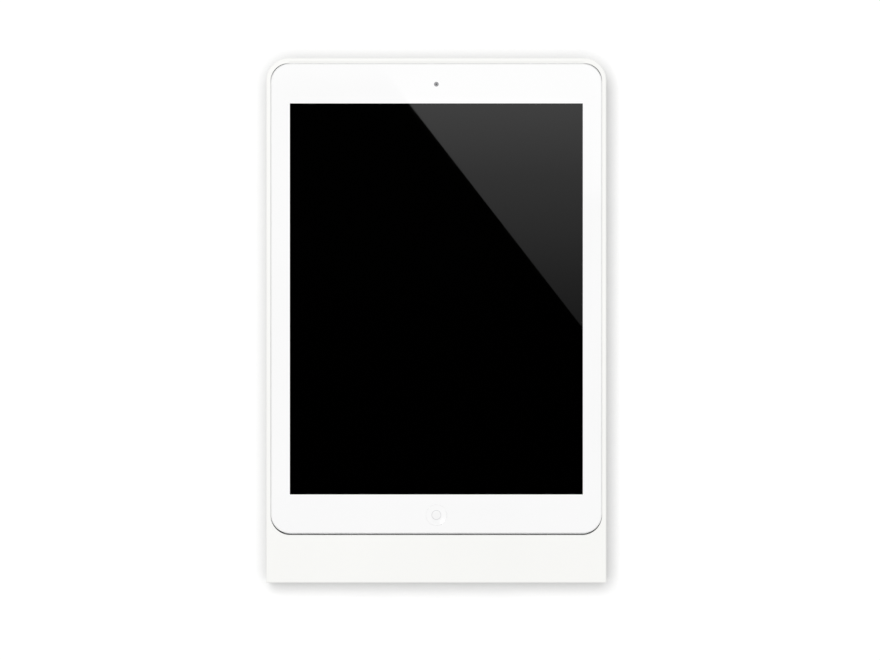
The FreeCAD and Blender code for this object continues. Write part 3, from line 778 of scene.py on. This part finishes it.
class MOUNT_OT_studio(bpy.types.Operator):
    """Set up the wall, the floor, the lamps, the reflection cards and the camera"""

    bl_idname = "wall_mount.studio"
    bl_label = "Studio"

    def execute(self, context):
        scene, studio = context.scene, context.scene.mount_studio
        far, floor = STAGE_REACH, -FLOOR_DROP
        foot = floor + FLOOR_GAP
        sheet_of("wall", [(-far, WALL_BACK, foot), (far, WALL_BACK, foot),
                          (far, WALL_BACK, far), (-far, WALL_BACK, far)],
                 backdrop("wall_paper", studio, studio.wall_glow))
        sheet_of("floor", [(-far, -far, floor), (far, -far, floor), (far, far, floor),
                           (-far, far, floor)],
                 backdrop("floor_paper", studio, studio.floor_glow))
        eye_y = FRONT - studio.distance
        self.cards(studio, eye_y)
        lamp("key", KEY_PLACE, (0.0, 0.0, 0.0), KEY_SIZE, studio.key)
        sky(studio.sky)
        camera = bpy.data.objects.new("camera", bpy.data.cameras.new("camera"))
        camera.data.sensor_width = 36.0
        camera.data.lens = studio.lens
        camera.data.clip_end = 20.0
        camera.location = (studio.aim_x, eye_y, studio.aim_z)
        camera.rotation_euler = (math.radians(90.0), 0.0, 0.0)
        scene.collection.objects.link(camera)
        scene.camera = camera
        scene.view_settings.view_transform = "Standard"
        return {"FINISHED"}

    def cards(self, studio, eye_y):
        """Dark cards that keep the screen black, and lit ones that the glass mirrors."""
        card_y = eye_y - CARD_BEHIND
        near_y = card_y + LIT_BEFORE_DARK
        far_y = GLASS_FRONT - FAR_CARD_OFF
        grow = ((GLASS_FRONT - eye_y) + (GLASS_FRONT - card_y)) / (GLASS_FRONT - eye_y)

        def cast(place, aim):
            """From where the glass shows a thing to where that thing stands."""
            return aim + (place - aim) * grow

        def glow(name, stops):
            return card_material(name, [(cast(z, studio.aim_z), level) for z, level in stops])

        def card(name, corners, y, made):
            glossy_only(sheet_of(name, [(cast(x, studio.aim_x), y, cast(z, studio.aim_z))
                                        for x, z in corners], made))

        dark = glow("card_dark", DARK_STOPS)
        card("card_dark", box_corners(DARK_HALF, DARK_LOW, DARK_TOP), card_y, dark)
        glossy_only(sheet_of("card_low", [(x, far_y, z) for x, z in
                                          box_corners(FAR_HALF, FAR_LOW, FAR_TOP)], dark))
        card("card_lit", WEDGE_CORNERS, near_y, glow("card_lit", WEDGE_STOPS))
        card("card_side", SIDE_CORNERS, near_y, glow("card_side", SIDE_STOPS))


OPERATORS = (MOUNT_OT_frame, MOUNT_OT_steel, MOUNT_OT_plastic, MOUNT_OT_pads, MOUNT_OT_tablet,
             MOUNT_OT_glass, MOUNT_OT_inside, MOUNT_OT_studio)


class MOUNT_PT_panel(bpy.types.Panel):
    """Sidebar panel of the wall mount"""

    bl_label = "Wall mount"
    bl_idname = "MOUNT_PT_panel"
    bl_space_type = "VIEW_3D"
    bl_region_type = "UI"
    bl_category = "Wall mount"

    def draw(self, context):
        for operator in OPERATORS:
            self.layout.operator(operator.bl_idname)
        for group in ("mount_colours", "mount_sizes", "mount_studio"):
            box = self.layout.box()
            values = getattr(context.scene, group)
            for name in values.bl_rna.properties.keys():
                if name not in ("rna_type", "name"):
                    box.prop(values, name)


GROUPS = (("mount_colours", MountColours), ("mount_sizes", MountSizes),
          ("mount_studio", MountStudio))


def register():
    """Registers the classes and hangs the values on the scene."""
    for name, group in GROUPS:
        bpy.utils.register_class(group)
        setattr(bpy.types.Scene, name, PointerProperty(type=group))
    for operator in OPERATORS:
        bpy.utils.register_class(operator)
    bpy.utils.register_class(MOUNT_PT_panel)


def unregister():
    """Takes all of that away again."""
    bpy.utils.unregister_class(MOUNT_PT_panel)
    for operator in reversed(OPERATORS):
        bpy.utils.unregister_class(operator)
    for name, group in reversed(GROUPS):
        delattr(bpy.types.Scene, name)
        bpy.utils.unregister_class(group)


def main():
    """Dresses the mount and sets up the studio."""
    register()
    for operator in OPERATORS:
        group, name = operator.bl_idname.split(".")
        getattr(getattr(bpy.ops, group), name)()


if __name__ == "__main__":
    main()
